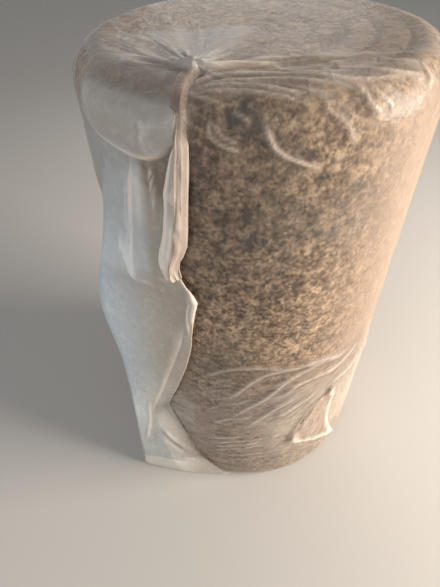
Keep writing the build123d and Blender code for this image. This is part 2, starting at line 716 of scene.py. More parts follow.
class GridMesh:
    """A mesh of rings or strips, built from a grid of points."""

    def __init__(self, name: str, points: np.ndarray, closed: bool) -> None:
        """Takes the grid.

        Args:
            name: The piece's name.
            points: Rows by columns by three.
            closed: True if the last column joins the first.
        """
        self.name = name
        self.rows, self.columns = points.shape[:2]
        self.points = points.reshape(-1, 3)
        self.closed = closed
        self.faces = self._quads()

    def _quads(self) -> list[tuple[int, ...]]:
        """The faces between neighbouring rows and columns.

        Returns:
            The point numbers of each face.
        """
        across = self.columns if self.closed else self.columns - 1
        quads = []
        for row in range(self.rows - 1):
            for column in range(across):
                beside = (column + 1) % self.columns
                low, high = row * self.columns, (row + 1) * self.columns
                quads.append((low + column, low + beside, high + beside, high + column))
        return quads

    def cap(self, row: int, lift: float, last: bool) -> None:
        """Closes a ring with a fan about its middle.

        Args:
            row: The ring.
            lift: How far the middle stands above the ring.
            last: True if the fan closes the last ring.
        """
        ring = self.points[row * self.columns: (row + 1) * self.columns]
        centre = ring.mean(axis=0) + (0.0, 0.0, lift)
        middle = len(self.points)
        self.points = np.vstack([self.points, centre])
        first = row * self.columns
        for column in range(self.columns):
            a, b = first + column, first + (column + 1) % self.columns
            self.faces.append((a, b, middle) if last else (b, a, middle))

    def join_ends(self) -> None:
        """Joins the last row to the first, as round a ring."""
        last = (self.rows - 1) * self.columns
        for column in range(self.columns):
            beside = (column + 1) % self.columns
            self.faces.append((last + column, last + beside, beside, column))

    def open_at(self, torn: np.ndarray) -> None:
        """Leaves out the quads whose corners are all torn.

        Args:
            torn: True at each torn point.
        """
        torn = np.append(torn.ravel(), np.zeros(len(self.points) - torn.size, bool))
        self.faces = [face for face in self.faces if not all(torn[list(face)])]

    def build(self, fields: dict[str, np.ndarray]) -> bpy.types.Object:
        """Makes the object.

        Args:
            fields: Numbers for each point, kept as the mesh's own attributes.

        Returns:
            The object, smooth shaded.
        """
        mesh = bpy.data.meshes.new(self.name)
        mesh.from_pydata(self.points.tolist(), [], self.faces)
        for key, values in fields.items():
            held = np.full(len(self.points), values.ravel()[-1], np.float32)
            held[: values.size] = values.ravel()
            mesh.attributes.new(key, "FLOAT", "POINT").data.foreach_set("value", held)
        mesh.polygons.foreach_set("use_smooth", [True] * len(mesh.polygons))
        piece = bpy.data.objects.new(self.name, mesh)
        bpy.context.scene.collection.objects.link(piece)
        self._drop_loose(piece)
        return piece

    @staticmethod
    def _drop_loose(piece: bpy.types.Object) -> None:
        """Deletes points that no face uses.

        Args:
            piece: The mesh object.
        """
        select_only(piece)
        bpy.ops.object.mode_set(mode="EDIT")
        bpy.ops.mesh.select_all(action="SELECT")
        bpy.ops.mesh.delete_loose()
        bpy.ops.object.mode_set(mode="OBJECT")
        piece.select_set(False)


def give_wall(piece: bpy.types.Object, thickness: float) -> None:
    """Gives a skin its wall, on the inner side.

    Args:
        piece: The skin.
        thickness: The wall.
    """
    select_only(piece)
    wall = piece.modifiers.new("wall", "SOLIDIFY")
    wall.thickness = thickness
    wall.offset = -1.0
    wall.use_rim = True
    bpy.ops.object.modifier_apply(modifier=wall.name)
    piece.select_set(False)


@dataclass
class WoundMat:
    """The wound mat of wool: a lumpy roll with its bore and the edges of its turns."""

    form: RollForm
    bore: float = 0.025
    bore_round: float = 0.010
    pitch: float = 0.060
    gap_depth: float = 0.014
    gap_share: float = 0.10
    lump: float = 0.0022
    lumps_round: int = 48
    columns: int = 288
    side_rows: int = 90
    end_rows: int = 78
    round_rows: int = 9
    bore_rows: int = 24

    def _profile(self) -> tuple[np.ndarray, np.ndarray]:
        """Radii and heights from the bore's foot, out, up the side and back in to the bore.

        Returns:
            The radii and the heights.
        """
        form = self.form
        flat_low = np.linspace(self.bore, form.radius - form.base_round, self.end_rows)
        flat_high = np.linspace(form.radius - form.rim_round, self.bore, self.end_rows)
        turned = np.radians(np.linspace(0, 90, self.round_rows))[1:]
        low_r = form.radius - form.base_round * (1 - np.sin(turned))
        low_z = form.bottom + form.base_round * (1 - np.cos(turned))
        high_r = form.radius - form.rim_round * (1 - np.cos(turned))
        high_z = form.top - form.rim_round * (1 - np.sin(turned))
        side_z = np.linspace(low_z[-1], form.top - form.rim_round, self.side_rows)[1:]
        bore_z = np.linspace(form.top - self.bore_round, form.bottom + self.bore_round, self.bore_rows)
        radii = [flat_low, low_r, np.full(side_z.size, form.radius), high_r, flat_high[1:],
                 np.full(bore_z.size, self.bore)]
        heights = [np.full(flat_low.size, form.bottom), low_z, side_z, high_z,
                   np.full(flat_high.size - 1, form.top), bore_z]
        return np.concatenate(radii), np.concatenate(heights)

    def _gap(self, radii: np.ndarray, turn: np.ndarray) -> np.ndarray:
        """How deep the gap between the turns is, as a share of its depth.

        Args:
            radii: Metres from the axis.
            turn: The angle about the axis, in turns.

        Returns:
            1 in the gap and 0 on a turn.
        """
        waver = 0.05 * Grain(5).read(turn * 9 + 20, radii * 20)
        share = np.mod((radii - self.bore) / self.pitch - turn + waver, 1.0)
        beside = np.minimum(share, 1 - share)
        first_turn = smooth_step(radii, self.bore + 0.004, self.bore + 0.03)
        return hump(beside, self.gap_share) * first_turn

    def make(self) -> bpy.types.Object:
        """Builds and dresses the mat.

        Returns:
            The piece that stands for the CAD node.
        """
        form = self.form
        radii, heights = self._profile()
        turn = np.arange(self.columns) / self.columns
        radius, around = np.meshgrid(radii, turn, indexing="ij")
        height = np.repeat(heights[:, None], self.columns, axis=1)
        at_end = np.isclose(height, form.top) | np.isclose(height, form.bottom)
        gap = np.where(at_end, self._gap(radius, around), 0.0)
        lumps = Grain(11)
        arc = around * self.lumps_round
        lump = 0.6 * lumps.read(arc, height * 24) + 0.4 * lumps.read(arc * 2 + 7, height * 52)
        on_side = ~(at_end | np.isclose(radius, self.bore))
        shrink = np.where(on_side, self.lump * (lump - 1.0), 0.0)
        ends = 0.4 * self.lump * (lumps.read(radius * 60, around * 40) - 1.0) - gap * self.gap_depth
        drop = np.where(at_end, ends * np.where(height > form.top / 2, 1.0, -1.0), 0.0)
        plan = polar(radius + shrink, around * FULL_TURN)
        points = np.concatenate([plan, (height + drop)[..., None]], axis=-1)
        grid = GridMesh("wound_wool_mat", points, closed=True)
        grid.join_ends()
        # The gap share also paints shade into the wool's material
        piece = grid.build({"gap": gap})
        piece.data.materials.append(WoolFinish().material())
        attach(piece, BODY)
        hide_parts("wool_roll")
        return piece


class Where(Enum):
    """What the points of a wrinkle's path are."""

    SIDE = "azimuth and height"
    PILLOW = "azimuth and height, off the wool"
    TOP = "x and y"
    POCKET = "share of the way from the pocket's fold to its tip, and height"


@dataclass(frozen=True)
class Wrinkle:
    """A raised crease on the film."""

    where: Where
    path: tuple[tuple[float, float], ...]
    rise: float
    width: float
    # Pale crest: partly the milkier bent film, partly a painted highlight
    whiteness: float
    # Painted shade along the crease's lower side
    valley_shade: float = 0.0


def alike(where: Where, rise: float, width: float, whiteness: float, valley_shade: float,
          *paths: tuple) -> tuple[Wrinkle, ...]:
    """Wrinkles that differ in their paths alone.

    Args:
        where: What the points of their paths are.
        rise: How far they stand up.
        width: How wide they are.
        whiteness: How pale their crests are, partly the milkier bent film and partly a painted highlight.
        valley_shade: How much painted shade lies along their lower side.
        *paths: Their paths.

    Returns:
        One wrinkle for each path.
    """
    return tuple(Wrinkle(where, path, rise, width, whiteness, valley_shade) for path in paths)


def each(where: Where, *rows: tuple) -> tuple[Wrinkle, ...]:
    """Wrinkles that differ in more than their paths.

    Args:
        where: What the points of their paths are.
        *rows: The path, rise, width, whiteness and, where there is one, the painted valley shade of each.

    Returns:
        One wrinkle for each row.
    """
    return tuple(Wrinkle(where, *row) for row in rows)


WRINKLES = (
    # The pull from the lower right edge, in a fan to the left
    *alike(
        Where.SIDE, 0.0060, 0.0095, 0.44, 0.60,
        ((-25.4, 0.529), (-17.2, 0.582), (-10.5, 0.608), (-3.2, 0.615), (3.8, 0.608), (13, 0.597)),
        ((-19, 0.420), (-15.6, 0.453), (-9, 0.510), (-2.9, 0.565), (3.9, 0.593), (13.1, 0.596), (19.7, 0.598),
         (25.7, 0.594), (32.1, 0.582), (44, 0.574)),
        ((-14, 0.365), (-5.6, 0.434), (0.8, 0.475), (4.8, 0.506), (8.7, 0.539), (12.7, 0.558), (16.4, 0.568),
         (24, 0.576)),
        ((23, 0.520), (30.4, 0.531), (34.5, 0.540), (38.6, 0.557), (46, 0.574)),
    ),
    *alike(
        Where.SIDE, 0.0052, 0.0088, 0.37, 0.55,
        ((0, 0.503), (6.1, 0.537), (11.6, 0.561), (17.9, 0.577), (24.8, 0.585), (33.2, 0.573), (40, 0.565)),
        ((-7, 0.325), (-0.8, 0.375), (2.4, 0.400), (7.2, 0.433), (13.3, 0.455), (20, 0.478)),
        ((1, 0.462), (9.3, 0.490), (14.5, 0.519), (20.1, 0.530), (25.7, 0.531), (33.2, 0.536), (44, 0.540)),
        ((29, 0.445), (36.9, 0.462), (42.2, 0.467), (50, 0.498)),
        ((6, 0.372), (12, 0.404), (19, 0.432), (26, 0.452)),
    ),
    # Short creases beside the pocket
    *alike(
        Where.SIDE, 0.0034, 0.0046, 0.48, 0.45,
        ((-24, 0.380), (-18.7, 0.420), (-14.5, 0.440), (-8.4, 0.456), (-3.5, 0.480)),
        ((-19.5, 0.695), (-15.2, 0.699), (-11.8, 0.708), (-7.5, 0.716)),
        ((-27.5, 0.630), (-23.3, 0.624), (-20.1, 0.617), (-15.5, 0.603)),
        ((-18.6, 0.715), (-17.4, 0.695), (-18, 0.668)),
        ((-22, 0.503), (-15.9, 0.525), (-10, 0.542)),
        ((-21.5, 0.487), (-15.4, 0.507), (-10.5, 0.522)),
        ((-21.3, 0.525), (-15.8, 0.547), (-10.5, 0.562)),
        ((-20.6, 0.449), (-16.1, 0.466), (-9.6, 0.493)),
    ),
    # Level creases above the foot
    *alike(
        Where.SIDE, 0.0040, 0.0050, 0.55, 0.80,
        ((-21, 0.323), (-13.6, 0.367), (-7.1, 0.381), (-1.5, 0.397)),
        ((-24, 0.205), (-13.9, 0.235), (-6.3, 0.251), (1, 0.267), (10, 0.275)),
        ((-23.5, 0.180), (-12.6, 0.215), (-4.4, 0.234), (5, 0.252)),
        ((-23.5, 0.155), (-14, 0.188), (-5, 0.210), (3, 0.227)),
        ((-21, 0.143), (-10.7, 0.155), (-4.2, 0.166), (3, 0.173)),
        ((-23, 0.235), (-12.5, 0.265), (-4, 0.286)),
        ((-15, 0.118), (-4, 0.136), (2, 0.142)),
    ),
    # Soft folds under the rim
    *each(
        Where.SIDE,
        (((-4.2, 1.180), (-3.4, 1.166), (-2.6, 1.154), (-1, 1.138), (2, 1.124), (6.3, 1.112), (12, 1.098)),
         0.0060, 0.0055, 0.75, 0.35),
        (((-15.6, 1.176), (-16.1, 1.165), (-15.9, 1.154), (-14.3, 1.145), (-11.7, 1.139), (-7.5, 1.130)),
         0.0045, 0.0050, 0.65),
        (((-15.3, 1.172), (-14.5, 1.163), (-12.4, 1.152), (-8.5, 1.142)), 0.0035, 0.0045, 0.55),
        (((-11.5, 1.184), (-8.2, 1.175), (-6.6, 1.168)), 0.0035, 0.0050, 0.50),
    ),
    # Glints on the pillow at the left: small creases whose pale crests are painted highlights
    *alike(
        Where.PILLOW, 0.0035, 0.0060, 0.60, 0.20,
        ((-32.6, 1.166), (-31.4, 1.152), (-31.9, 1.142), (-30.9, 1.128)),
    ),
    *alike(
        Where.PILLOW, 0.0030, 0.0080, 0.25, 0.15,
        ((-29.4, 1.168), (-30.2, 1.148), (-29.2, 1.128), (-27.0, 1.122)),
        ((-33.5, 1.140), (-31.4, 1.124), (-28.4, 1.122), (-26.0, 1.134)),
    ),
    # The top end's long pleats, from the gather along the front rim
    *alike(
        Where.TOP, 0.0036, 0.0046, 0.50, 0.0,
        ((-0.140, -0.292), (-0.107, -0.271), (-0.076, -0.258), (-0.017, -0.261), (0.062, -0.276),
         (0.130, -0.291)),
        ((-0.132, -0.296), (-0.077, -0.281), (-0.031, -0.283), (0.025, -0.292), (0.081, -0.298),
         (0.112, -0.300)),
        ((-0.140, -0.292), (-0.077, -0.291), (-0.032, -0.299), (0.005, -0.311), (0.035, -0.317),
         (0.066, -0.324)),
        ((-0.130, -0.294), (-0.078, -0.303), (-0.040, -0.310), (-0.009, -0.318), (0.021, -0.326),
         (0.056, -0.335)),
        ((-0.138, -0.290), (-0.112, -0.304), (-0.094, -0.314), (-0.068, -0.326)),
        ((-0.120, -0.286), (-0.076, -0.240), (-0.034, -0.227), (0.010, -0.228)),
        ((0.005, -0.270), (0.055, -0.279), (0.095, -0.288), (0.144, -0.278), (0.200, -0.257)),
    ),
    *alike(
        Where.TOP, 0.0034, 0.0055, 0.42, 0.0,
        ((-0.030, -0.200), (0, -0.231), (0.020, -0.261), (0.053, -0.264), (0.092, -0.258), (0.122, -0.240)),
        ((0.112, -0.245), (0.150, -0.254), (0.184, -0.256), (0.236, -0.238)),
        ((0.143, -0.165), (0.155, -0.203), (0.184, -0.222), (0.233, -0.220)),
        ((-0.060, -0.215), (0.030, -0.195), (0.140, -0.205)),
        ((0.050, -0.318), (0.066, -0.332), (0.090, -0.336), (0.106, -0.336), (0.125, -0.332)),
        ((0.136, -0.286), (0.157, -0.290), (0.182, -0.287)),
    ),
    *alike(
        Where.TOP, 0.0034, 0.0044, 0.44, 0.0,
        ((0.065, -0.226), (0.067, -0.251), (0.078, -0.261)),
        ((0.101, -0.196), (0.094, -0.238), (0.114, -0.249)),
        ((0.096, -0.293), (0.113, -0.302), (0.122, -0.309), (0.126, -0.315), (0.148, -0.316)),
        ((0.127, -0.291), (0.140, -0.301), (0.155, -0.303), (0.168, -0.306)),
        ((0.222, -0.215), (0.236, -0.236), (0.244, -0.244)),
    ),
    # The pocket's own folds
    *each(
        Where.POCKET,
        (((0.535, 1.110), (0.55, 1.055), (0.565, 1.020), (0.578, 0.980), (0.58, 0.905)),
         0.0050, 0.0042, 1.00),
        (((0.510, 1.100), (0.535, 1.040), (0.552, 0.985), (0.563, 0.915), (0.575, 0.855)),
         0.0030, 0.0034, 0.80, 0.30),
        (((0.60, 1.070), (0.63, 1.000), (0.64, 0.950)), 0.0030, 0.0070, 0.25),
        (((0.34, 1.105), (0.30, 1.075), (0.262, 1.040), (0.26, 1.000)), 0.0040, 0.0042, 0.70),
        (((0.485, 1.100), (0.455, 1.035), (0.43, 0.970)), 0.0030, 0.0160, 0.40),
        (((0.81, 0.935), (0.72, 0.915), (0.64, 0.895), (0.59, 0.873), (0.575, 0.845)),
         0.0055, 0.0070, 1.00),
        (((0.80, 0.932), (0.67, 0.940), (0.61, 0.930), (0.565, 0.910)), 0.0040, 0.0050, 0.70),
        (((0.70, 0.928), (0.64, 0.912), (0.59, 0.885), (0.57, 0.860)), 0.0040, 0.0110, 1.00),
        (((0.58, 0.850), (0.42, 0.855), (0.27, 0.860), (0.12, 0.866)), 0.0022, 0.0045, 0.30, 0.15),
        (((0.02, 0.845), (0.025, 0.815), (0.02, 0.785), (0.01, 0.740)), 0.0030, 0.0090, 1.00),
        (((0.044, 0.845), (0.072, 0.806), (0.065, 0.760), (0.030, 0.700)), 0.0035, 0.0040, 0.80),
        (((0.56, 0.385), (0.61, 0.299), (0.76, 0.230), (0.90, 0.160)), 0.0040, 0.0050, 0.60),
        (((0.48, 0.420), (0.47, 0.330), (0.59, 0.245), (0.76, 0.180), (0.91, 0.125)),
         0.0000, 0.0160, 0.00, 0.28),
        (((0.17, 0.320), (0.19, 0.260), (0.22, 0.200), (0.20, 0.150)), 0.0030, 0.0600, 0.26),
        (((0.47, 0.245), (0.36, 0.195), (0.25, 0.155), (0.15, 0.110)), 0.0085, 0.0090, 0.00, 0.40),
        (((0.55, 0.190), (0.40, 0.140), (0.28, 0.100)), 0.0035, 0.0140, 0.25),
    ),
)


@dataclass(frozen=True)
class MistPatch:
    """A part of the side where the film is double or stands off, and so is milkier.

    Azimuths and their soft edge are degrees, and heights and theirs are metres.
    """

    left: float
    right: float
    low: float
    high: float
    amount: float
    soft_degrees: float
    soft_height: float

    def over(self, azimuth: np.ndarray, height: np.ndarray) -> np.ndarray:
        """The patch's milkiness at each point.

        Args:
            azimuth: The points' azimuths.
            height: Their heights.

        Returns:
            Numbers from 0 to the amount.
        """
        across = band(azimuth, self.left - self.soft_degrees, self.left, self.right,
                      self.right + self.soft_degrees)
        up = band(height, self.low - self.soft_height, self.low, self.high, self.high + self.soft_height)
        return self.amount * across * up


MIST = tuple(MistPatch(*row) for row in (
    (-56, -38, 0.90, 1.09, 0.32, 5.0, 0.06),
    (-38, -26, 0.90, 1.09, 0.06, 3.0, 0.06),
    (-78, -56, 0.74, 1.10, 0.18, 16.0, 0.22),
    (-84, -22, 1.13, 1.24, 0.10, 4.0, 0.05),
    (-40, 60, 0.06, 0.46, 0.10, 10.0, 0.08),
    (36, 90, 0.05, 0.50, 0.06, 8.0, 0.08),
    (-90, -30, 0.02, 0.33, 0.05, 10.0, 0.10),
    (-43, -31, 0.25, 0.38, 0.20, 5.0, 0.05),
    (-20, 60, 0.01, 0.10, 0.16, 12.0, 0.04),
))


class Lie(Enum):
    """How the film runs between two of its stations."""

    ON_WOOL = "on the wool"
    IN_AIR = "straight through the air"


@dataclass(frozen=True)
class PocketLevel:
    """One height of the pocket of spare film. Azimuths are degrees, the rest metres or shares."""

    height: float
    leaves: float
    fold: float
    fold_lift: float
    crease_share: float
    bulge: float
    reach: float
    back: float


POCKET = tuple(PocketLevel(*row) for row in (
    (0.00, -11.0, -14.0, 0.003, 0.50, 0.010, 0.112, -86),
    (0.025, -14.5, -16.5, 0.004, 0.50, 0.010, 0.112, -86),
    (0.05, -20.0, -21.2, 0.004, 0.50, 0.011, 0.111, -85),
    (0.08, -25.5, -26.5, 0.004, 0.49, 0.010, 0.111, -84),
    (0.12, -29.6, -30.6, 0.004, 0.48, 0.009, 0.110, -83),
    (0.18, -33.4, -34.5, 0.005, 0.46, 0.008, 0.107, -82),
    (0.237, -37.3, -38.6, 0.006, 0.44, 0.007, 0.103, -80),
    (0.272, -40.6, -41.7, 0.007, 0.43, 0.006, 0.100, -79),
    (0.314, -43.8, -44.2, 0.008, 0.42, 0.006, 0.098, -78),
    (0.34, -44.2, -43.0, 0.009, 0.37, 0.006, 0.096, -78),
    (0.41, -43.4, -38.3, 0.012, 0.30, 0.005, 0.092, -77),
    (0.46, -41.5, -35.2, 0.013, 0.27, 0.004, 0.089, -77),
    (0.524, -39.4, -31.8, 0.014, 0.23, 0.003, 0.087, -76),
    (0.577, -37.2, -29.0, 0.015, 0.20, 0.003, 0.086, -75),
    (0.623, -35.8, -27.2, 0.015, 0.17, 0.002, 0.088, -74),
    (0.66, -34.5, -25.8, 0.015, 0.14, 0.002, 0.090, -74),
    (0.717, -32.8, -24.7, 0.015, 0.10, 0.002, 0.094, -73),
    (0.764, -31.6, -23.7, 0.015, 0.10, 0.002, 0.0945, -72),
    (0.787, -31.2, -23.0, 0.015, 0.12, 0.002, 0.092, -72),
    (0.816, -31.0, -21.9, 0.015, 0.20, 0.002, 0.0875, -71),
    (0.841, -31.0, -23.7, 0.014, 0.40, 0.003, 0.080, -71),
    (0.853, -31.3, -25.2, 0.013, 0.50, 0.004, 0.076, -70),
    (0.872, -31.8, -26.6, 0.013, 0.58, 0.006, 0.070, -70),
    (0.90, -32.0, -26.8, 0.012, 0.60, 0.009, 0.058, -69),
    (0.95, -32.0, -27.0, 0.012, 0.61, 0.013, 0.036, -67),
    (1.00, -31.5, -26.6, 0.011, 0.63, 0.014, 0.018, -65),
    (1.06, -28.5, -25.8, 0.008, 0.62, 0.011, 0.010, -63),
    (1.08, -25.0, -24.5, 0.006, 0.61, 0.010, 0.008, -62),
    (1.10, -21.0, -24.0, 0.004, 0.60, 0.008, 0.006, -62),
    (1.16, -19.0, -24.0, 0.002, 0.60, 0.006, 0.002, -61),
))


@dataclass
class FilmBag:
    """The film over the roll: its foot, sides, pocket and gathered top."""

    form: RollForm
    wall: float = 0.0006
    lift: float = 0.0014
    flat: tuple[float, float] = (2.45, 1.90)

    # The gather that the top closes in on, with its neck, and the collar and crown that stand above it
    gather_azimuth: float = -25.0
    gather_radius: float = 0.272
    gather_reach: float = 0.05
    neck: float = 0.006
    collar: float = 0.013
    crown: float = 0.002

    # The least gap under the film that stands off, and the height it opens from and over
    least_gap: float = 0.007
    gap_from: float = 0.90
    gap_over: float = 0.10

    # How loose the film of the top looks, and how milky it is about the gather
    top_gap: float = 0.006
    top_mist: float = 0.13

    # The pocket's tip, and the welded hem at its foot, whose heights are those at the tip and the roll
    tip_azimuth: float = -50.5
    hem_heights: tuple[float, float] = (0.060, 0.082)
    hem_rise: float = 0.003

    # The pillow over the rim, with the white line above its foot: partly the film turning under, partly a
    # painted highlight
    pillow_rise: float = 0.012
    pillow_line: float = 0.006
    pillow_white: float = 0.75

    # How far the slack, its ripples and waves, and the sway of what hangs free lift the film
    slack_rise: float = 0.0045
    ripple_rise: float = 0.0014
    wave_rise: float = 0.0022
    sway_rise: float = 0.0035

    # How far the film is made paler higher up the side and beside the pull: partly loose film, partly painted
    # sheen on the side that faces the window lamp
    upright_sheen_veil: float = 0.36
    pulled_sheen_veil: float = 0.24

    tear_width: float = 0.011
    tear_edge: float = 0.004

    # Each stretch of a ring: the stations it runs between, its columns and how it lies
    STRETCHES = (
        ("behind", "left", 16, Lie.ON_WOOL),
        ("left", "back", 8, Lie.ON_WOOL),
        ("back", "tip", 14, Lie.IN_AIR),
        ("tip", "crease", 16, Lie.IN_AIR),
        ("crease", "fold", 20, Lie.IN_AIR),
        ("fold", "leaves", 8, Lie.ON_WOOL),
        ("leaves", "front", 70, Lie.ON_WOOL),
        ("front", "right", 54, Lie.ON_WOOL),
        ("right", "behind_again", 20, Lie.ON_WOOL),
    )

    # The stations whose lift counts from the roll's full radius
    FREE = ("tip", "crease", "fold")

    # The foot's rings above the film's lowest height, the height of the side's first ring, and then
    # the height that each band of rings ends at, with its rings counted from the last of the one below
    FOOT_RINGS = (0.0, 0.004, 0.010, 0.017, 0.024, 0.031, 0.038)
    FIRST_RING = 0.046
    BANDS = ((0.12, 9), (0.30, 46), (0.62, 50), (0.70, 8), (0.90, 22), (1.08, 11))
    SHOULDER_RINGS = 18
    RIM_RINGS = 24
    TOP_RINGS = 24

    # The underside's rings, as shares of the foot's
    UNDERSIDE = (0.04, 0.3, 0.6, 0.85)

    # Azimuth and height along the pillow's foot and along the tear
    PILLOW_FOOT = ((-60, 1.150), (-48, 1.112), (-39.5, 1.100), (-37.3, 1.100), (-34.9, 1.099), (-32.3, 1.101),
                   (-29.8, 1.107), (-28.3, 1.112), (-26.0, 1.122), (-24.9, 1.132))
    TEAR = ((18.0, 0.235), (20.5, 0.285), (23.0, 0.335), (26.0, 0.372), (29.5, 0.395))

    def _stations(self, height: float) -> dict[str, tuple[float, float]]:
        """Azimuth and lift of each station at a height.

        Args:
            height: The height.

        Returns:
            Station name to azimuth and lift.
        """
        keys = [level.height for level in POCKET]

        def read(field: str) -> float:
            """One of the pocket's values at this height."""
            return float(np.interp(height, keys, [getattr(level, field) for level in POCKET]))

        radius, lift = self.form.radius, self.lift
        fold, tip = (read("fold"), read("fold_lift")), (self.tip_azimuth, read("reach"))
        start, end = polar(radius + fold[1], fold[0]), polar(radius + tip[1], tip[0])
        crease = start + (end - start) * read("crease_share")
        out = float(np.hypot(*crease))
        return {
            "behind": (-180.0, lift), "left": (-110.0, lift), "back": (read("back"), lift), "tip": tip,
            "crease": (float(azimuth_of(crease)), out - radius + read("bulge")), "fold": fold,
            "leaves": (read("leaves"), lift), "front": (20.0, lift), "right": (62.0, lift),
            "behind_again": (180.0, lift),
        }

    def _ring(self, height: float) -> np.ndarray:
        """The film's plan at a height.

        Args:
            height: The height.

        Returns:
            One place for each column.
        """
        stations = self._stations(height)
        base = float(self.form.outline(height, 0.0))
        stretches = []
        for start, end, count, lie in self.STRETCHES:
            share = np.arange(count) / count
            (first, low), (last, high) = stations[start], stations[end]
            low += self.form.radius if start in self.FREE else base
            high += self.form.radius if end in self.FREE else base
            if lie is Lie.ON_WOOL:
                stretches.append(polar(low + (high - low) * share, first + (last - first) * share))
            else:
                near, far = polar(low, first), polar(high, last)
                stretches.append(near + (far - near) * share[:, None])
        ring = np.concatenate(stretches)
        gap = self.least_gap * np.clip((height - self.gap_from) / self.gap_over, 0.0, 1.0)
        lift = np.where(self._in_air(), max(gap, self.lift), self.lift)
        least = self.form.outline(height, lift)
        return ring * np.maximum(1.0, least / np.linalg.norm(ring, axis=1))[:, None]

    def _heights(self) -> np.ndarray:
        """The heights of the side's rings, closer together where the film is creased.

        Returns:
            The heights, from the foot up.
        """
        foot = self.form.bottom - self.lift + np.array(self.FOOT_RINGS)
        heights, start = [foot, [self.FIRST_RING]], self.FIRST_RING
        shoulder = (self.form.top - self.form.rim_round, self.SHOULDER_RINGS)
        for end, count in (*self.BANDS, shoulder):
            heights.append(np.linspace(start, end, count)[1:])
            start = end
        return np.concatenate(heights)

    def _side(self) -> np.ndarray:
        """The rings of the foot and the side."""
        rings = [(self._ring(height), height) for height in self._heights()]
        return np.array([np.column_stack([ring, np.full(len(ring), height)]) for ring, height in rings])

    def _underside(self, foot: np.ndarray) -> np.ndarray:
        """The flat rings inside the foot.

        Args:
            foot: The side's first ring.

        Returns:
            The rings, from the middle out.
        """
        shares = np.array(self.UNDERSIDE)
        rings = np.repeat(foot[None], shares.size, axis=0)
        rings[..., :2] *= shares[:, None, None]
        return rings

    def _rim(self, edge: np.ndarray) -> np.ndarray:
        """The rings round the rim.

        Args:
            edge: The side's last ring.

        Returns:
            The rings above it.
        """
        lift = np.hypot(edge[:, 0], edge[:, 1]) - self.form.radius
        azimuth = azimuth_of(edge)
        arc = self.form.rim_round * math.pi / 2
        runs = np.linspace(arc, 0, self.RIM_RINGS)[1:]
        return np.array([self.form.down(np.full(lift.size, run), azimuth, lift) for run in runs])

    def _gather(self) -> np.ndarray:
        """The gather's place in plan."""
        return polar(self.gather_radius, self.gather_azimuth)

    def _top(self, edge: np.ndarray) -> np.ndarray:
        """The rings of the top, which close in on the gather.

        Args:
            edge: The rim's last ring.

        Returns:
            The rings inside it, to the neck.
        """
        centre = self._gather()
        towards = edge[:, :2] - centre
        neck = centre + towards / np.linalg.norm(towards, axis=1)[:, None] * self.neck
        rings = []
        for share in np.linspace(0, 1, self.TOP_RINGS)[1:]:
            plan = edge[:, :2] * (1 - share) + neck * share
            rings.append(np.column_stack([plan, edge[:, 2]]))
        return np.array(rings)

    def _pleats(self, points: np.ndarray) -> np.ndarray:
        """How far the top's pleats rise.

        Args:
            points: The film's points.

        Returns:
            A rise for each.
        """
        beside = points[..., :2] - self._gather()
        turn = np.arctan2(beside[..., 1], beside[..., 0]) / (2 * math.pi)
        away = np.linalg.norm(beside, axis=-1)
        wide = Grain(21).read(turn * 24 + 40, away * 4) * 0.7
        narrow = Grain(22).read(turn * 48 + 90, away * 7) * 0.4
        crest = np.clip(1 - np.abs(wide + narrow) * 2.2, 0, 1) ** 1.3
        strength = 0.0035 * np.exp(-away / self.gather_reach) + 0.0042 * np.exp(-away / 0.40)
        over = smooth_step(points[..., 2], self.form.top - 0.03, self.form.top - 0.004)
        outward = beside @ self._gather() / (np.maximum(away, 1e-6) * self.gather_radius)
        return crest * strength * over * smooth_step(outward, 0.25, -0.10)

    def _line(self, wrinkle: Wrinkle, rings: np.ndarray) -> np.ndarray:
        """A wrinkle's path in space.

        Args:
            wrinkle: The wrinkle.
            rings: The film's rings before any relief.

        Returns:
            The path's points.
        """
        path = smooth_path(np.array(wrinkle.path, float))
        if wrinkle.where is Where.SIDE:
            return self.form.on_side(path[:, 0], path[:, 1], self.lift)
        if wrinkle.where is Where.PILLOW:
            return self.form.on_side(path[:, 0], path[:, 1], self.least_gap)
        if wrinkle.where is Where.TOP:
            return self.form.on_top(path, self.lift)
        return np.array([self._on_face(rings, share, height) for share, height in path])

    def _column(self, station: str) -> int:
        """The first column of the stretch that starts at a station.

        Args:
            station: The station's name.

        Returns:
            The column's number.
        """
        starts = [start for start, *_ in self.STRETCHES]
        counts = [count for _, _, count, _ in self.STRETCHES]
        return sum(counts[: starts.index(station)])

    def _on_face(self, rings: np.ndarray, share: float, height: float) -> np.ndarray:
        """A place on the pocket's face.

        Args:
            rings: The side's rings before any relief.
            share: How far it lies from the fold to the tip.
            height: Its height.

        Returns:
            The place.
        """
        face = rings[:, self._column("tip"): self._column("fold") + 1][:, ::-1]
        row = float(np.interp(height, face[:, 0, 2], np.arange(len(face))))
        low = min(int(row), len(face) - 2)
        level = face[low] + (face[low + 1] - face[low]) * (row - low)
        run = np.concatenate([[0.0], np.cumsum(np.linalg.norm(np.diff(level, axis=0), axis=1))])
        return np.array([np.interp(share * run[-1], run, level[:, axis]) for axis in range(3)])

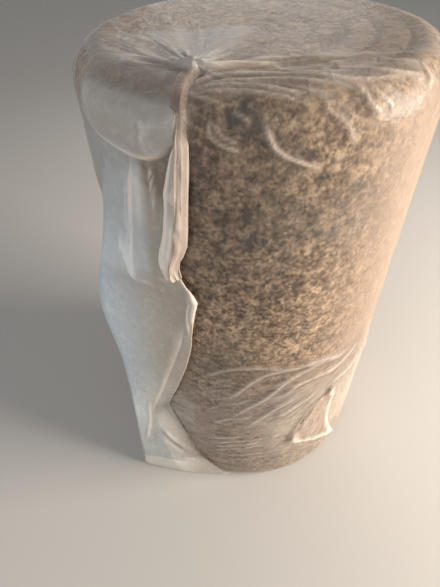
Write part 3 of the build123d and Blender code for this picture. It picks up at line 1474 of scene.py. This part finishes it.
    def _creases(self, points: np.ndarray, rings: np.ndarray) -> dict[str, np.ndarray]:
        """The raised creases.

        Args:
            points: The film's points.
            rings: The side's rings before any relief.

        Returns:
            The rise, the whiteness and the shade of each point.
        """
        flat = points.reshape(-1, 3)
        made = {key: np.zeros(len(flat)) for key in ("rise", "white", "shade")}
        for wrinkle in WRINKLES:
            line = self._line(wrinkle, rings)
            reach = 4 * wrinkle.width
            low, high = line.min(axis=0) - reach, line.max(axis=0) + reach
            near = np.nonzero(((flat > low) & (flat < high)).all(axis=1))[0]
            away, along = nearest_on(flat[near], line)
            under, _ = nearest_on(flat[near] + (0.0, 0.0, 1.5 * wrinkle.width), line)
            taper = band(along, 0.0, 0.25, 0.75, 1.0)
            shares = {
                "rise": hump(away, wrinkle.width, 1.4) * (0.1 + 0.9 * taper) * wrinkle.rise,
                "white": hump(away, 0.55 * wrinkle.width, 1.5) * taper * wrinkle.whiteness,
                "shade": hump(under, 0.8 * wrinkle.width) * taper * wrinkle.valley_shade,
            }
            for key, share in shares.items():
                made[key][near] = np.maximum(made[key][near], share)
        return {key: values.reshape(points.shape[:-1]) for key, values in made.items()}

    def _shoulder(self, azimuth: np.ndarray, height: np.ndarray) -> tuple[np.ndarray, np.ndarray]:
        """The pillow of film over the rim at the left, and the crease along its foot.

        Args:
            azimuth: Each point's azimuth.
            height: Each point's height.

        Returns:
            The rise and the whiteness of each point.
        """
        foot = np.interp(azimuth, *zip(*self.PILLOW_FOOT))
        inside = band(azimuth, -62, -50, -26, -18)
        above = smooth_step(height - foot, -0.004, 0.012)
        fade = smooth_step(height, 1.212, 1.160)
        crest = hump(height - foot - self.pillow_line, self.pillow_line)
        white = self.pillow_white * crest * inside * smooth_step(azimuth, -25, -31)
        return self.pillow_rise * above * inside * fade, white

    def _relief(self, points: np.ndarray, rings: np.ndarray) -> dict[str, np.ndarray]:
        """All that lifts the film off its plain form.

        Args:
            points: The film's points.
            rings: The side's rings before any relief.

        Returns:
            The rise along the film's normal, the whiteness and the shade of each point.
        """
        azimuth, height = azimuth_of(points), points[..., 2]
        on_side = band(height, 0.02, 0.05, 1.17, 1.2)
        creases = self._creases(points, rings)
        pillow, foot_line = self._shoulder(azimuth, height)
        soft, broad = Grain(31), Grain(32)
        arc = azimuth / 6.0 + 80
        slack = smooth_step(np.abs(azimuth - 62), 34, 8)
        slack = slack * smooth_step(height, 0.02, 0.12) * smooth_step(height, 0.66, 0.4)
        ripple = self.ripple_rise * soft.read(arc, height * 22)
        wave = np.maximum(ripple + self.wave_rise * broad.read(arc / 2.4, height * 9), 0)
        sway = self.sway_rise * broad.read(arc / 1.5 + 9, height * 4 + 3)
        off_wool = smooth_step(self.form.distance(points), 0.004, 0.02)
        loose = pillow + self.slack_rise * slack + wave * (1 - off_wool) + sway * off_wool
        rise = creases["rise"] + loose * on_side
        rise = (rise + self._pleats(points)) * (height > self.form.bottom)
        behind = slice(self._column("fold") + 1, self._column("leaves"))
        rise[:, behind] *= smooth_step(height[:, behind], 1.07, 1.10)
        creases["white"] = np.maximum(creases["white"], foot_line * on_side)
        return {**creases, "rise": rise}

    @staticmethod
    def _normals(points: np.ndarray) -> np.ndarray:
        """The film's outward direction at each point of its grid.

        Args:
            points: The film's points.

        Returns:
            A direction for each, of length 1.
        """
        across = np.roll(points, -1, axis=1) - np.roll(points, 1, axis=1)
        normal = np.cross(across, np.gradient(points, axis=0))
        return normal / np.maximum(np.linalg.norm(normal, axis=-1, keepdims=True), 1e-9)

    def _in_air(self) -> np.ndarray:
        """True for the columns that stand off the wool."""
        return np.concatenate([np.full(count, lie is Lie.IN_AIR) for *_, count, lie in self.STRETCHES])

    def _hem(self, points: np.ndarray) -> np.ndarray:
        """The welded hem along the foot of the pocket.

        Args:
            points: The film's points.

        Returns:
            The hem's share at each point.
        """
        azimuth = azimuth_of(points)
        height = np.interp(azimuth, (-50, -20), self.hem_heights)
        low = smooth_step(points[..., 2] - height, 0.004, -0.003)
        near = band(azimuth, -95, -80, -18, -9)
        return low * near * (points[..., 2] > self.form.bottom) * self._in_air()

    def _fold_lines(self, height: np.ndarray) -> np.ndarray:
        """The whiteness along the pocket's folded edges.

        Args:
            height: Each point's height.

        Returns:
            The whiteness of each point.
        """
        white = np.zeros(height.shape)
        edges = (("fold", 0.9, (0.31, 0.37, 0.84, 0.96)), ("crease", 0.6, (0.28, 0.36, 0.68, 0.75)))
        for station, whiteness, span in edges:
            for step, share in ((-1, 0.5), (0, 1.0), (1, 0.5)):
                column = self._column(station) + step
                white[:, column] = whiteness * share * band(height[:, column], *span)
        return white

    def _sheen_veil(self, points: np.ndarray) -> np.ndarray:
        """How much paler the film is on the side that faces the window lamp: partly loose film, partly
        painted sheen.

        Args:
            points: The film's points.

        Returns:
            How far the painted sheen and the loose film hide the wool at each point.
        """
        azimuth, height = azimuth_of(points), points[..., 2]
        across = band(azimuth, 10, 50, 90, 150)
        upright = band(height, 0.30, 0.62, self.form.top - 0.04, self.form.top)
        pulled = band(azimuth, -10, 24, 52, 92)
        pulled = pulled * smooth_step(height, 0.14, 0.28) * smooth_step(height, 0.66, 0.56)
        return np.maximum(self.upright_sheen_veil * across * upright, self.pulled_sheen_veil * pulled)

    def _tear(self, points: np.ndarray) -> tuple[np.ndarray, np.ndarray]:
        """The tear at the lower right.

        Args:
            points: The film's points.

        Returns:
            True at each torn point, and the whiteness of the tear's edge.
        """
        path = smooth_path(np.array(self.TEAR))
        line = self.form.on_side(path[:, 0], path[:, 1], self.lift)
        flat = points.reshape(-1, 3)
        away, along = nearest_on(flat, line)
        half = self.tear_width * np.sqrt(np.maximum(np.sin(np.pi * along), 0.02))
        torn = (away < half).reshape(points.shape[:-1])
        edge = hump(away - half, self.tear_edge) * (away < 0.03)
        return torn, 0.5 * edge.reshape(points.shape[:-1])

    def _collar_rise(self, rows: int, top_rows: int) -> np.ndarray:
        """How far the gather's last rings stand up as a low collar.

        Args:
            rows: How many rings the film has.
            top_rows: How many of them are on the top end.

        Returns:
            The rise of each ring.
        """
        share = np.zeros(rows)
        share[-top_rows:] = np.linspace(0, 1, top_rows) ** 7
        return self.collar * share[:, None]

    def _fields(self, points: np.ndarray, relief: dict[str, np.ndarray], hem: np.ndarray,
                torn_edge: np.ndarray) -> dict[str, np.ndarray]:
        """What the film's material reads at each point.

        Args:
            points: The film's points, with their relief.
            relief: The whiteness and the shade of the creases.
            hem: The hem's share.
            torn_edge: The whiteness of the tear's edge.

        Returns:
            The name of each field to its numbers.
        """
        azimuth, height = azimuth_of(points), points[..., 2]
        on_top = smooth_step(height, self.form.top - 0.02, self.form.top - 0.002)
        off = np.maximum(self.form.distance(points) - self.lift, self.top_gap * on_top)
        away = np.linalg.norm(points[..., :2] - self._gather(), axis=-1)
        mist = np.max([patch.over(azimuth, height) for patch in MIST], axis=0)
        mist = np.maximum(mist, on_top * self.top_mist * np.exp(-away / self.gather_reach))
        floor_line = smooth_step(height, 0.012, 0.004)
        welded = hem * (0.10 + 0.46 * smooth_step(azimuth, -16, -50) + 0.4 * floor_line)
        seam = 1.6 * hem * (1 - hem)
        folds = self._fold_lines(height)
        crease = np.maximum.reduce([relief["white"], welded, seam, torn_edge, folds])
        return {"lift": off, "crease": np.clip(crease, 0, 1), "mist": mist, "shade": relief["shade"],
                "sheen_veil": self._sheen_veil(points)}

    def make(self) -> bpy.types.Object:
        """Builds and dresses the film over the roll.

        Returns:
            The piece that stands for the CAD node.
        """
        side = self._side()
        rim = self._rim(side[-1])
        top = self._top(rim[-1])
        points = np.concatenate([self._underside(side[0]), side, rim, top])
        hem = self._hem(points)
        relief = self._relief(points, side)
        torn, torn_edge = self._tear(points)
        rise = np.maximum(relief["rise"] + hem * self.hem_rise, 0.0)
        points = points + self._normals(points) * rise[..., None]
        points[..., 2] = np.maximum(points[..., 2], self.form.bottom - self.lift)
        points[..., 2] += self._collar_rise(len(points), len(top))
        grid = GridMesh("film_over_roll", points, closed=True)
        grid.cap(0, 0.0, last=False)
        grid.cap(grid.rows - 1, self.crown, last=True)
        grid.open_at(torn)
        piece = grid.build(self._fields(points, relief, hem, torn_edge))
        give_wall(piece, self.wall)
        piece.data.materials.append(FilmFinish().material("bag_film"))
        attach(piece, BODY)
        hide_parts("film_bag")
        return piece


@dataclass(frozen=True)
class TailLevel:
    """One place along the hanging mouth. Azimuths are degrees and the rest metres."""

    run: float
    left: float
    split: float
    right: float
    lift: float
    lens: float
    pleat: float


TAIL = tuple(TailLevel(*row) for row in (
    (-0.018, -28.0, -25.0, -22.5, 0.006, 0.008, 0.000),
    (0.020, -26.8, -24.8, -22.6, 0.010, 0.003, 0.000),
    (0.050, -25.6, -23.6, -21.8, 0.013, 0.002, 0.000),
    (0.072, -24.6, -22.8, -21.2, 0.014, 0.003, 0.001),
    (0.086, -23.9, -23.0, -21.0, 0.015, 0.006, 0.003),
    (0.100, -24.3, -23.2, -20.8, 0.015, 0.007, 0.003),
    (0.120, -25.6, -23.6, -21.0, 0.015, 0.008, 0.003),
    (0.145, -26.8, -24.0, -21.3, 0.016, 0.008, 0.003),
    (0.180, -28.2, -24.5, -21.9, 0.018, 0.008, 0.003),
    (0.215, -28.8, -25.1, -22.4, 0.019, 0.008, 0.003),
    (0.255, -29.9, -26.0, -22.9, 0.021, 0.008, 0.003),
    (0.285, -30.7, -26.8, -23.5, 0.024, 0.007, 0.003),
    (0.310, -31.5, -27.6, -25.0, 0.027, 0.006, 0.003),
    (0.322, -31.7, -28.0, -26.1, 0.029, 0.005, 0.004),
    (0.336, -31.1, -28.2, -26.5, 0.030, 0.004, 0.005),
    (0.346, -30.5, -28.2, -26.4, 0.030, 0.004, 0.005),
    (0.355, -30.0, -28.1, -26.2, 0.029, 0.004, 0.005),
    (0.361, -29.8, -28.1, -26.1, 0.028, 0.003, 0.004),
))


@dataclass
class MouthTail:
    """The mouth of the bag: a flattened, pleated tube that hangs from the gather over the rim."""

    form: RollForm
    rows: int = 110
    lens_columns: int = 22
    band_columns: int = 32
    back_columns: int = 20
    crown: float = 0.002
    tip: float = 0.003
    flat: tuple[float, float] = (0.046, 0.42)

    # The pleats of the lower end: how many there are to a place, and the runs they show from and fully
    pleats: float = 3.2
    pleats_from: float = 0.330
    pleats_full: float = 0.345

    def _places(self) -> np.ndarray:
        """Where each column lies: 0 at the left edge, 1 at the split, 2 at the right, then back.

        Returns:
            A place for each column.
        """
        lens = np.arange(self.lens_columns) / self.lens_columns
        strip = np.arange(self.band_columns) / self.band_columns
        back = np.arange(self.back_columns) / self.back_columns
        return np.concatenate([lens, 1 + strip, 2 - 2 * back])

    def _streaks(self, place: np.ndarray, runs: np.ndarray) -> np.ndarray:
        """The pleats that spread across the tail's lower end.

        Args:
            place: Where each column lies.
            runs: How far along each row lies.

        Returns:
            Crests of up to 1.
        """
        crests = np.clip(np.cos(2 * np.pi * (place * self.pleats - 0.45)), 0, 1)
        return crests * smooth_step(runs, self.pleats_from, self.pleats_full)

    def _lift(self, place: np.ndarray, runs: np.ndarray, values: dict[str, np.ndarray]) -> np.ndarray:
        """How far the tail's face stands off its back.

        Args:
            place: Where each column lies.
            runs: How far along each row lies.
            values: The levels' values at each row.

        Returns:
            Rows by columns of lifts.
        """
        lens = np.where(place < 1, smooth_step(place, 0.08, 0.9), np.cos(np.pi * (place - 1) / 2) ** 0.4)
        between = band(place, 1.02, 1.14, 1.66, 1.80)
        filled = smooth_step(runs, 0.16, 0.25) * between * 0.9
        ridges = np.maximum(hump(place - 1.10, 0.10), 0.8 * hump(place - 1.66, 0.13))
        waver = Grain(42).read(place * 3 + 10, runs * 30)
        ridges = np.maximum(ridges * (1 + 0.5 * waver), filled)
        plain = 1 - smooth_step(runs, self.pleats_from, self.pleats_full)
        ridges = np.maximum(ridges * plain, self._streaks(place, runs))
        return values["lens"] * lens + values["pleat"] * ridges * (place > 0)

    def _fields(self, place: np.ndarray, runs: np.ndarray, crumple: np.ndarray,
                front: np.ndarray) -> dict[str, np.ndarray]:
        """What the film's material reads at each point.

        Args:
            place: Where each column lies.
            runs: How far along each row lies.
            crumple: The grain over the tail.
            front: True for the columns of the face.

        Returns:
            The name of each field to its numbers.
        """
        foot = smooth_step(runs, 0.20, 0.26)
        # Pale edges, crests and lens: partly doubled film, partly painted highlights and painted light
        # through the lens
        edges = hump(place - 0.10, 0.20) + 0.35 * hump(place - 2.0, 0.10)
        crests = 0.50 * hump(place - 1.04, 0.06) + 0.20 * hump(place - 1.60, 0.08)
        lens_glow_and_crumples = (0.38 + 0.44 * foot + (0.30 + 0.5 * foot) * np.clip(crumple * 1.6, 0, 1)) * (place < 1.0)
        tip = 0.10 * smooth_step(runs, 0.345, 0.361) + 0.40 * (self._streaks(place, runs) * front)
        start = 0.06 + 0.94 * smooth_step(runs - 0.022 * np.abs(place - 1.35), 0.068, 0.090)
        crease = np.clip((edges + crests + lens_glow_and_crumples) * start + tip, 0, 1)
        mist = (0.20 + 0.20 * smooth_step(place, 0.95, 1.1) + 0.22 * foot) * start
        neck = band(runs, 0.02, 0.05, 0.076, 0.100)
        shade = np.broadcast_to(0.6 * neck, crease.shape)
        return {"lift": 0.003 + 0.009 * start, "crease": crease, "mist": mist, "shade": shade}

    def make(self) -> bpy.types.Object:
        """Builds and dresses the tail.

        Returns:
            The piece, which rides with the bag.
        """
        keys = [level.run for level in TAIL]
        runs = np.linspace(keys[0], keys[-1], self.rows)[:, None]
        values = {}
        for field in ("left", "split", "right", "lift", "lens", "pleat"):
            values[field] = np.interp(runs, keys, [getattr(level, field) for level in TAIL])
        place = self._places()
        low, high = np.clip(place, 0, 1), np.clip(place - 1, 0, 1)
        azimuth = values["left"] + (values["split"] - values["left"]) * low
        azimuth = azimuth + (values["right"] - values["split"]) * high
        front = np.arange(place.size) < self.lens_columns + self.band_columns
        crumple = Grain(41).read(azimuth / 1.3 + 30, runs * 44)
        rough = (0.0012 + 0.0018 * smooth_step(runs, 0.20, 0.26)) * crumple
        face = self._lift(place, runs, values) + rough
        lift = values["lift"] * (1 - 0.55 * smooth_step(place, 1.25, 2.0)) + np.where(front, face, 0.0)
        points = self.form.down(np.repeat(runs, place.size, axis=1), azimuth, lift)[:, ::-1]
        grid = GridMesh("hanging_mouth", points, closed=True)
        grid.cap(0, self.crown, last=False)
        grid.cap(self.rows - 1, -self.tip, last=True)
        fields = self._fields(place, runs, crumple, front)
        piece = grid.build({key: numbers[:, ::-1] for key, numbers in fields.items()})
        warm = linear(178, 161, 148)
        finish = FilmFinish(near_wool=linear(180, 164, 150), in_air=warm, low_air=warm,
                            fold=linear(255, 243, 228), roughness=0.42)
        piece.data.materials.append(finish.material("mouth_film"))
        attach(piece, BODY)
        return piece


@dataclass
class TornTongue:
    """The tongue of film that curls out beside the tear."""

    form: RollForm
    wall: float = 0.0006
    gap: float = 0.0045
    least_lift: float = 0.004
    rows: int = 40
    columns: int = 36
    flat: tuple[float, float] = (0.14, 0.22)

    # Azimuth, height and lift down the left and the right edge, from the top
    LEFT = (
        (29.7, 0.416, 0.007), (25.5, 0.400, 0.008), (22.2, 0.365, 0.009),
        (20.2, 0.330, 0.010), (17.2, 0.280, 0.011), (15.6, 0.228, 0.014),
    )
    RIGHT = (
        (34.5, 0.440, 0.010), (36.5, 0.378, 0.007), (35.8, 0.330, 0.006),
        (36.0, 0.280, 0.007), (37.5, 0.225, 0.012), (42.3, 0.142, 0.022),
    )

    def make(self) -> bpy.types.Object:
        """Builds and dresses the tongue.

        Returns:
            The piece, which rides with the bag.
        """
        down = np.linspace(0, 1, self.rows)
        across = np.linspace(0, 1, self.columns)[None, :, None]
        sides = []
        for edge in (self.LEFT, self.RIGHT):
            path = smooth_path(np.array(edge))
            share = np.linspace(0, 1, len(path))
            sides.append(np.stack([np.interp(down, share, path[:, k]) for k in range(3)], axis=-1)[:, None])
        place = sides[0] * (1 - across) + sides[1] * across
        azimuth, height, lift = place[..., 0], place[..., 1], place[..., 2]
        crumple = Grain(51).read(azimuth / 2.6 + 20, height * 42)
        fold = 1 - 2 * np.abs(np.mod(azimuth / 5.5 + height * 9, 1.0) - 0.5)
        top = smooth_step(down, 0.25, 0.0)[:, None]
        lift = np.maximum(lift + 0.0014 * crumple + 0.0030 * fold * (0.3 + top), self.least_lift)
        plan = polar(self.form.outline(height, 0.0) + lift, azimuth)
        points = np.concatenate([plan, height[..., None]], axis=-1)[::-1]
        grid = GridMesh("torn_tongue", points, closed=False)
        beside = np.linspace(0, 1, self.columns)[None]
        border = 0.25 * hump(beside, 0.04) + 0.9 * hump(1 - beside, 0.09)
        foot = hump(1 - down, 0.05)[:, None]
        corner = 1.2 * smooth_step(down, 0.78, 0.98)[:, None] * smooth_step(beside, 0.18, 0.0)
        # Painted highlights on the crumples at the top
        crumple_highlights = top * np.clip(0.3 + crumple * 2.5, 0, 1) * smooth_step(beside, 0.2, 0.7)
        crease = np.clip(border + foot + corner + crumple_highlights, 0, 1)[::-1]
        piece = grid.build({"lift": np.full(lift.shape, self.gap), "crease": crease})
        give_wall(piece, self.wall)
        piece.data.materials.append(FilmFinish().material("torn_film"))
        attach(piece, BODY)
        return piece


@dataclass(frozen=True)
class Lamp:
    """A soft square lamp: where it hangs, the side of its square, its watts and its colour."""

    name: str
    place: tuple[float, float, float]
    size: float
    power: float
    colour: tuple[float, float, float]


@dataclass
class Studio:
    """The floor, lights and camera."""

    eye: tuple[float, float, float] = (-0.0903, -0.9097, 1.4188)
    look: tuple[float, float, float] = (0.0, 0.70407, -0.71013)
    right: tuple[float, float, float] = (0.99929, -0.02673, -0.02650)
    focal_pixels: float = 427.0
    frame_height: float = 587.0
    sensor: float = 36.0
    floor_radius: float = 14.0
    floor_height: float = -0.0006
    aim: tuple[float, float, float] = (0.0, 0.0, 0.6)
    surround: tuple[float, ...] = (0.93, 0.96, 1.0, 1.0)
    surround_strength: float = 0.245
    backdrop: tuple[float, ...] = (0.86, 0.86, 0.85, 1.0)
    backdrop_strength: float = 0.9

    LAMPS = (
        Lamp("window", (3.46, -0.95, 1.50), 2.0, 278.0, (1.0, 0.92, 0.82)),
        Lamp("sky", (-1.7, -1.9, 1.5), 1.6, 13.0, (0.90, 0.95, 1.0)),
        Lamp("behind", (0.2, 2.3, 1.9), 1.6, 10.0, (1.0, 0.97, 0.93)),
    )

    def add_floor(self) -> None:
        """The floor, which isn't part of the object."""
        bpy.ops.object.select_all(action="DESELECT")
        bpy.ops.mesh.primitive_circle_add(vertices=96, radius=self.floor_radius, fill_type="NGON",
                                          location=(0.0, 0.0, self.floor_height))
        floor = bpy.context.active_object
        floor.name = "floor"
        bpy.ops.object.transform_apply(location=True, rotation=True, scale=True)
        floor.data.materials.append(FloorFinish().material())

    def add_lamp(self, lamp: Lamp) -> None:
        """Hangs a lamp that points at the middle of the roll.

        Args:
            lamp: Its settings.
        """
        data = bpy.data.lights.new(lamp.name, "AREA")
        data.shape = "SQUARE"
        data.size = lamp.size
        data.energy = lamp.power
        data.color = lamp.colour
        hung = bpy.data.objects.new(lamp.name, data)
        hung.location = lamp.place
        towards = Vector(self.aim) - Vector(lamp.place)
        hung.rotation_euler = towards.to_track_quat("-Z", "Y").to_euler()
        bpy.context.scene.collection.objects.link(hung)

    def add_world(self) -> None:
        """An even pale surround, with its own tone where the camera or a reflection sees it."""
        world = bpy.data.worlds.new("pale_room")
        world.use_nodes = True
        bpy.context.scene.world = world
        nodes, links = world.node_tree.nodes, world.node_tree.links
        nodes.clear()
        path = nodes.new("ShaderNodeLightPath")
        seen = path.outputs["Is Camera Ray"]
        for ray in ("Is Glossy Ray", "Is Transmission Ray"):
            either = nodes.new("ShaderNodeMath")
            either.operation = "MAXIMUM"
            links.new(seen, either.inputs[0])
            links.new(path.outputs[ray], either.inputs[1])
            seen = either.outputs[0]
        light, shown = nodes.new("ShaderNodeBackground"), nodes.new("ShaderNodeBackground")
        light.inputs["Color"].default_value = self.surround
        light.inputs["Strength"].default_value = self.surround_strength
        shown.inputs["Color"].default_value = self.backdrop
        shown.inputs["Strength"].default_value = self.backdrop_strength
        blend = nodes.new("ShaderNodeMixShader")
        links.new(seen, blend.inputs[0])
        links.new(light.outputs[0], blend.inputs[1])
        links.new(shown.outputs[0], blend.inputs[2])
        links.new(blend.outputs[0], nodes.new("ShaderNodeOutputWorld").inputs[0])

    def add_camera(self) -> None:
        """The camera, where the photo was taken from."""
        data = bpy.data.cameras.new("viewpoint")
        data.sensor_width = self.sensor
        data.lens = self.focal_pixels / self.frame_height * self.sensor
        camera = bpy.data.objects.new("viewpoint", data)
        bpy.context.scene.collection.objects.link(camera)
        look, right = Vector(self.look).normalized(), Vector(self.right).normalized()
        turn = Matrix((right, right.cross(look), -look)).transposed().to_4x4()
        camera.matrix_world = Matrix.Translation(self.eye) @ turn
        bpy.context.scene.camera = camera

    def build(self) -> None:
        """Sets up the floor, the lamps, the surround and the camera."""
        self.add_floor()
        for lamp in self.LAMPS:
            self.add_lamp(lamp)
        self.add_world()
        self.add_camera()
        bpy.context.scene.view_settings.view_transform = "Standard"


def main() -> None:
    """Builds each piece in order and reports it."""
    logging.basicConfig(level=logging.INFO, format="%(message)s")
    Studio().build()
    form = RollForm.from_frame()
    for maker in (WoundMat, FilmBag, MouthTail, TornTongue):
        piece = maker(form).make()
        LOG.info("%s: %d faces", piece.name, len(piece.data.polygons))


if __name__ == "__main__":
    main()
